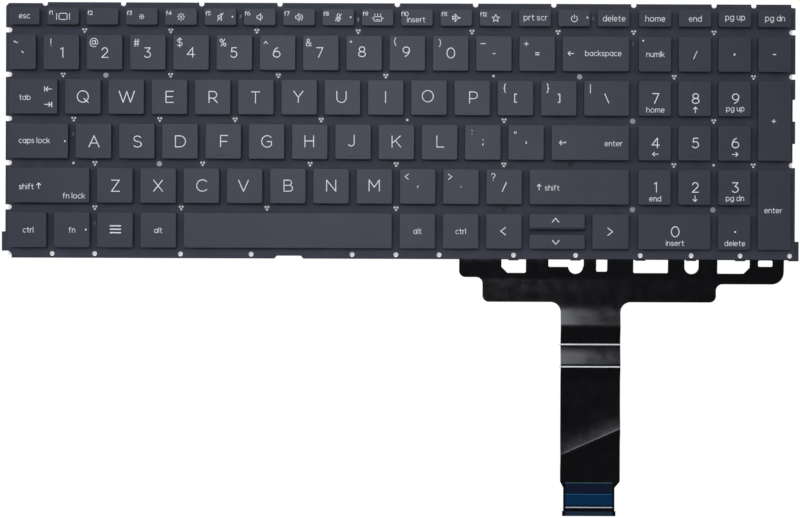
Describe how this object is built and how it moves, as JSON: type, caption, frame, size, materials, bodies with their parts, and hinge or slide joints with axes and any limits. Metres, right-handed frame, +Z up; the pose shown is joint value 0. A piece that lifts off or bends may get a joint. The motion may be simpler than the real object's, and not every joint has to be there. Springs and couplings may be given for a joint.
{
  "type": "laptop replacement keyboard",
  "caption": "Thin laptop keyboard with a number pad: a steel plate, circuit films, scissor keys that press down and a flat film tail with a stiffened end.",
  "frame": {"origin": "centre of the plate's flat back face", "axes": "+X along the rows towards the number pad, +Y towards the function row, +Z up through the keycaps"},
  "size_m": [0.3462, 0.2226, 0.0049],
  "materials": {
    "plate_steel": "satin",
    "circuit_film": "matte",
    "ribbon_film": "gloss",
    "stiffener_film": "gloss",
    "dome_rubber": "matte",
    "link_plastic": "matte",
    "led_lens": "gloss",
    "keycap_plastic": "matte"
  },
  "bodies": {
    "base": {"base_plate": "plate_steel", "lower_circuit_film": "circuit_film", "spacer_film": "circuit_film", "upper_circuit_film": "circuit_film", "ribbon_tail": "ribbon_film", "tail_stiffener": "stiffener_film", "rubber_domes": "dome_rubber", "scissor_links": "link_plastic", "indicator_leds": "led_lens", "function_number_pad_keys": "keycap_plastic"},
    "tab_key": {"key_tab": "keycap_plastic"},
    "q_key": {"key_q": "keycap_plastic"},
    "w_key": {"key_w": "keycap_plastic"},
    "e_key": {"key_e": "keycap_plastic"},
    "r_key": {"key_r": "keycap_plastic"},
    "t_key": {"key_t": "keycap_plastic"},
    "y_key": {"key_y": "keycap_plastic"},
    "u_key": {"key_u": "keycap_plastic"},
    "i_key": {"key_i": "keycap_plastic"},
    "o_key": {"key_o": "keycap_plastic"},
    "p_key": {"key_p": "keycap_plastic"},
    "left_bracket_key": {"key_left_bracket": "keycap_plastic"},
    "right_bracket_key": {"key_right_bracket": "keycap_plastic"},
    "backslash_key": {"key_backslash": "keycap_plastic"},
    "caps_lock_key": {"key_caps_lock": "keycap_plastic"},
    "a_key": {"key_a": "keycap_plastic"},
    "s_key": {"key_s": "keycap_plastic"},
    "d_key": {"key_d": "keycap_plastic"},
    "f_key": {"key_f": "keycap_plastic"},
    "g_key": {"key_g": "keycap_plastic"},
    "h_key": {"key_h": "keycap_plastic"},
    "j_key": {"key_j": "keycap_plastic"},
    "k_key": {"key_k": "keycap_plastic"},
    "l_key": {"key_l": "keycap_plastic"},
    "semicolon_key": {"key_semicolon": "keycap_plastic"},
    "quote_key": {"key_quote": "keycap_plastic"},
    "enter_key": {"key_enter": "keycap_plastic"},
    "left_shift_key": {"key_left_shift": "keycap_plastic"},
    "z_key": {"key_z": "keycap_plastic"},
    "x_key": {"key_x": "keycap_plastic"},
    "c_key": {"key_c": "keycap_plastic"},
    "v_key": {"key_v": "keycap_plastic"},
    "b_key": {"key_b": "keycap_plastic"},
    "n_key": {"key_n": "keycap_plastic"},
    "m_key": {"key_m": "keycap_plastic"},
    "comma_key": {"key_comma": "keycap_plastic"},
    "period_key": {"key_period": "keycap_plastic"},
    "slash_key": {"key_slash": "keycap_plastic"},
    "right_shift_key": {"key_right_shift": "keycap_plastic"},
    "left_ctrl_key": {"key_left_ctrl": "keycap_plastic"},
    "fn_key": {"key_fn": "keycap_plastic"},
    "system_key": {"key_system": "keycap_plastic"},
    "left_alt_key": {"key_left_alt": "keycap_plastic"},
    "space_key": {"key_space": "keycap_plastic"},
    "right_alt_key": {"key_right_alt": "keycap_plastic"},
    "right_ctrl_key": {"key_right_ctrl": "keycap_plastic"},
    "left_arrow_key": {"key_left_arrow": "keycap_plastic"},
    "up_arrow_key": {"key_up_arrow": "keycap_plastic"},
    "down_arrow_key": {"key_down_arrow": "keycap_plastic"},
    "right_arrow_key": {"key_right_arrow": "keycap_plastic"}
  },
  "joints": [
    {"name": "press_tab", "type": "slide", "parent": "base", "child": "tab_key", "axis": [0, 0, -1], "range_m": [0, 0.0015], "stiffness_N_per_m": 200, "springref_m": -0.0012, "deforming": ["rubber_domes", "scissor_links"]},
    {"name": "press_q", "type": "slide", "parent": "base", "child": "q_key", "axis": [0, 0, -1], "range_m": [0, 0.0015], "stiffness_N_per_m": 200, "springref_m": -0.0012, "deforming": ["rubber_domes", "scissor_links"]},
    {"name": "press_w", "type": "slide", "parent": "base", "child": "w_key", "axis": [0, 0, -1], "range_m": [0, 0.0015], "stiffness_N_per_m": 200, "springref_m": -0.0012, "deforming": ["rubber_domes", "scissor_links"]},
    {"name": "press_e", "type": "slide", "parent": "base", "child": "e_key", "axis": [0, 0, -1], "range_m": [0, 0.0015], "stiffness_N_per_m": 200, "springref_m": -0.0012, "deforming": ["rubber_domes", "scissor_links"]},
    {"name": "press_r", "type": "slide", "parent": "base", "child": "r_key", "axis": [0, 0, -1], "range_m": [0, 0.0015], "stiffness_N_per_m": 200, "springref_m": -0.0012, "deforming": ["rubber_domes", "scissor_links"]},
    {"name": "press_t", "type": "slide", "parent": "base", "child": "t_key", "axis": [0, 0, -1], "range_m": [0, 0.0015], "stiffness_N_per_m": 200, "springref_m": -0.0012, "deforming": ["rubber_domes", "scissor_links"]},
    {"name": "press_y", "type": "slide", "parent": "base", "child": "y_key", "axis": [0, 0, -1], "range_m": [0, 0.0015], "stiffness_N_per_m": 200, "springref_m": -0.0012, "deforming": ["rubber_domes", "scissor_links"]},
    {"name": "press_u", "type": "slide", "parent": "base", "child": "u_key", "axis": [0, 0, -1], "range_m": [0, 0.0015], "stiffness_N_per_m": 200, "springref_m": -0.0012, "deforming": ["rubber_domes", "scissor_links"]},
    {"name": "press_i", "type": "slide", "parent": "base", "child": "i_key", "axis": [0, 0, -1], "range_m": [0, 0.0015], "stiffness_N_per_m": 200, "springref_m": -0.0012, "deforming": ["rubber_domes", "scissor_links"]},
    {"name": "press_o", "type": "slide", "parent": "base", "child": "o_key", "axis": [0, 0, -1], "range_m": [0, 0.0015], "stiffness_N_per_m": 200, "springref_m": -0.0012, "deforming": ["rubber_domes", "scissor_links"]},
    {"name": "press_p", "type": "slide", "parent": "base", "child": "p_key", "axis": [0, 0, -1], "range_m": [0, 0.0015], "stiffness_N_per_m": 200, "springref_m": -0.0012, "deforming": ["rubber_domes", "scissor_links"]},
    {"name": "press_left_bracket", "type": "slide", "parent": "base", "child": "left_bracket_key", "axis": [0, 0, -1], "range_m": [0, 0.0015], "stiffness_N_per_m": 200, "springref_m": -0.0012, "deforming": ["rubber_domes", "scissor_links"]},
    {"name": "press_right_bracket", "type": "slide", "parent": "base", "child": "right_bracket_key", "axis": [0, 0, -1], "range_m": [0, 0.0015], "stiffness_N_per_m": 200, "springref_m": -0.0012, "deforming": ["rubber_domes", "scissor_links"]},
    {"name": "press_backslash", "type": "slide", "parent": "base", "child": "backslash_key", "axis": [0, 0, -1], "range_m": [0, 0.0015], "stiffness_N_per_m": 200, "springref_m": -0.0012, "deforming": ["rubber_domes", "scissor_links"]},
    {"name": "press_caps_lock", "type": "slide", "parent": "base", "child": "caps_lock_key", "axis": [0, 0, -1], "range_m": [0, 0.0015], "stiffness_N_per_m": 200, "springref_m": -0.0012, "deforming": ["rubber_domes", "scissor_links"]},
    {"name": "press_a", "type": "slide", "parent": "base", "child": "a_key", "axis": [0, 0, -1], "range_m": [0, 0.0015], "stiffness_N_per_m": 200, "springref_m": -0.0012, "deforming": ["rubber_domes", "scissor_links"]},
    {"name": "press_s", "type": "slide", "parent": "base", "child": "s_key", "axis": [0, 0, -1], "range_m": [0, 0.0015], "stiffness_N_per_m": 200, "springref_m": -0.0012, "deforming": ["rubber_domes", "scissor_links"]},
    {"name": "press_d", "type": "slide", "parent": "base", "child": "d_key", "axis": [0, 0, -1], "range_m": [0, 0.0015], "stiffness_N_per_m": 200, "springref_m": -0.0012, "deforming": ["rubber_domes", "scissor_links"]},
    {"name": "press_f", "type": "slide", "parent": "base", "child": "f_key", "axis": [0, 0, -1], "range_m": [0, 0.0015], "stiffness_N_per_m": 200, "springref_m": -0.0012, "deforming": ["rubber_domes", "scissor_links"]},
    {"name": "press_g", "type": "slide", "parent": "base", "child": "g_key", "axis": [0, 0, -1], "range_m": [0, 0.0015], "stiffness_N_per_m": 200, "springref_m": -0.0012, "deforming": ["rubber_domes", "scissor_links"]},
    {"name": "press_h", "type": "slide", "parent": "base", "child": "h_key", "axis": [0, 0, -1], "range_m": [0, 0.0015], "stiffness_N_per_m": 200, "springref_m": -0.0012, "deforming": ["rubber_domes", "scissor_links"]},
    {"name": "press_j", "type": "slide", "parent": "base", "child": "j_key", "axis": [0, 0, -1], "range_m": [0, 0.0015], "stiffness_N_per_m": 200, "springref_m": -0.0012, "deforming": ["rubber_domes", "scissor_links"]},
    {"name": "press_k", "type": "slide", "parent": "base", "child": "k_key", "axis": [0, 0, -1], "range_m": [0, 0.0015], "stiffness_N_per_m": 200, "springref_m": -0.0012, "deforming": ["rubber_domes", "scissor_links"]},
    {"name": "press_l", "type": "slide", "parent": "base", "child": "l_key", "axis": [0, 0, -1], "range_m": [0, 0.0015], "stiffness_N_per_m": 200, "springref_m": -0.0012, "deforming": ["rubber_domes", "scissor_links"]},
    {"name": "press_semicolon", "type": "slide", "parent": "base", "child": "semicolon_key", "axis": [0, 0, -1], "range_m": [0, 0.0015], "stiffness_N_per_m": 200, "springref_m": -0.0012, "deforming": ["rubber_domes", "scissor_links"]},
    {"name": "press_quote", "type": "slide", "parent": "base", "child": "quote_key", "axis": [0, 0, -1], "range_m": [0, 0.0015], "stiffness_N_per_m": 200, "springref_m": -0.0012, "deforming": ["rubber_domes", "scissor_links"]},
    {"name": "press_enter", "type": "slide", "parent": "base", "child": "enter_key", "axis": [0, 0, -1], "range_m": [0, 0.0015], "stiffness_N_per_m": 200, "springref_m": -0.0012, "deforming": ["rubber_domes", "scissor_links"]},
    {"name": "press_left_shift", "type": "slide", "parent": "base", "child": "left_shift_key", "axis": [0, 0, -1], "range_m": [0, 0.0015], "stiffness_N_per_m": 200, "springref_m": -0.0012, "deforming": ["rubber_domes", "scissor_links"]},
    {"name": "press_z", "type": "slide", "parent": "base", "child": "z_key", "axis": [0, 0, -1], "range_m": [0, 0.0015], "stiffness_N_per_m": 200, "springref_m": -0.0012, "deforming": ["rubber_domes", "scissor_links"]},
    {"name": "press_x", "type": "slide", "parent": "base", "child": "x_key", "axis": [0, 0, -1], "range_m": [0, 0.0015], "stiffness_N_per_m": 200, "springref_m": -0.0012, "deforming": ["rubber_domes", "scissor_links"]},
    {"name": "press_c", "type": "slide", "parent": "base", "child": "c_key", "axis": [0, 0, -1], "range_m": [0, 0.0015], "stiffness_N_per_m": 200, "springref_m": -0.0012, "deforming": ["rubber_domes", "scissor_links"]},
    {"name": "press_v", "type": "slide", "parent": "base", "child": "v_key", "axis": [0, 0, -1], "range_m": [0, 0.0015], "stiffness_N_per_m": 200, "springref_m": -0.0012, "deforming": ["rubber_domes", "scissor_links"]},
    {"name": "press_b", "type": "slide", "parent": "base", "child": "b_key", "axis": [0, 0, -1], "range_m": [0, 0.0015], "stiffness_N_per_m": 200, "springref_m": -0.0012, "deforming": ["rubber_domes", "scissor_links"]},
    {"name": "press_n", "type": "slide", "parent": "base", "child": "n_key", "axis": [0, 0, -1], "range_m": [0, 0.0015], "stiffness_N_per_m": 200, "springref_m": -0.0012, "deforming": ["rubber_domes", "scissor_links"]},
    {"name": "press_m", "type": "slide", "parent": "base", "child": "m_key", "axis": [0, 0, -1], "range_m": [0, 0.0015], "stiffness_N_per_m": 200, "springref_m": -0.0012, "deforming": ["rubber_domes", "scissor_links"]},
    {"name": "press_comma", "type": "slide", "parent": "base", "child": "comma_key", "axis": [0, 0, -1], "range_m": [0, 0.0015], "stiffness_N_per_m": 200, "springref_m": -0.0012, "deforming": ["rubber_domes", "scissor_links"]},
    {"name": "press_period", "type": "slide", "parent": "base", "child": "period_key", "axis": [0, 0, -1], "range_m": [0, 0.0015], "stiffness_N_per_m": 200, "springref_m": -0.0012, "deforming": ["rubber_domes", "scissor_links"]},
    {"name": "press_slash", "type": "slide", "parent": "base", "child": "slash_key", "axis": [0, 0, -1], "range_m": [0, 0.0015], "stiffness_N_per_m": 200, "springref_m": -0.0012, "deforming": ["rubber_domes", "scissor_links"]},
    {"name": "press_right_shift", "type": "slide", "parent": "base", "child": "right_shift_key", "axis": [0, 0, -1], "range_m": [0, 0.0015], "stiffness_N_per_m": 200, "springref_m": -0.0012, "deforming": ["rubber_domes", "scissor_links"]},
    {"name": "press_left_ctrl", "type": "slide", "parent": "base", "child": "left_ctrl_key", "axis": [0, 0, -1], "range_m": [0, 0.0015], "stiffness_N_per_m": 200, "springref_m": -0.0012, "deforming": ["rubber_domes", "scissor_links"]},
    {"name": "press_fn", "type": "slide", "parent": "base", "child": "fn_key", "axis": [0, 0, -1], "range_m": [0, 0.0015], "stiffness_N_per_m": 200, "springref_m": -0.0012, "deforming": ["rubber_domes", "scissor_links"]},
    {"name": "press_system", "type": "slide", "parent": "base", "child": "system_key", "axis": [0, 0, -1], "range_m": [0, 0.0015], "stiffness_N_per_m": 200, "springref_m": -0.0012, "deforming": ["rubber_domes", "scissor_links"]},
    {"name": "press_left_alt", "type": "slide", "parent": "base", "child": "left_alt_key", "axis": [0, 0, -1], "range_m": [0, 0.0015], "stiffness_N_per_m": 200, "springref_m": -0.0012, "deforming": ["rubber_domes", "scissor_links"]},
    {"name": "press_space", "type": "slide", "parent": "base", "child": "space_key", "axis": [0, 0, -1], "range_m": [0, 0.0015], "stiffness_N_per_m": 200, "springref_m": -0.0012, "deforming": ["rubber_domes", "scissor_links"]},
    {"name": "press_right_alt", "type": "slide", "parent": "base", "child": "right_alt_key", "axis": [0, 0, -1], "range_m": [0, 0.0015], "stiffness_N_per_m": 200, "springref_m": -0.0012, "deforming": ["rubber_domes", "scissor_links"]},
    {"name": "press_right_ctrl", "type": "slide", "parent": "base", "child": "right_ctrl_key", "axis": [0, 0, -1], "range_m": [0, 0.0015], "stiffness_N_per_m": 200, "springref_m": -0.0012, "deforming": ["rubber_domes", "scissor_links"]},
    {"name": "press_left_arrow", "type": "slide", "parent": "base", "child": "left_arrow_key", "axis": [0, 0, -1], "range_m": [0, 0.0015], "stiffness_N_per_m": 200, "springref_m": -0.0012, "deforming": ["rubber_domes", "scissor_links"]},
    {"name": "press_up_arrow", "type": "slide", "parent": "base", "child": "up_arrow_key", "axis": [0, 0, -1], "range_m": [0, 0.0015], "stiffness_N_per_m": 200, "springref_m": -0.0012, "deforming": ["rubber_domes", "scissor_links"]},
    {"name": "press_down_arrow", "type": "slide", "parent": "base", "child": "down_arrow_key", "axis": [0, 0, -1], "range_m": [0, 0.0015], "stiffness_N_per_m": 200, "springref_m": -0.0012, "deforming": ["rubber_domes", "scissor_links"]},
    {"name": "press_right_arrow", "type": "slide", "parent": "base", "child": "right_arrow_key", "axis": [0, 0, -1], "range_m": [0, 0.0015], "stiffness_N_per_m": 200, "springref_m": -0.0012, "deforming": ["rubber_domes", "scissor_links"]}
  ]
}
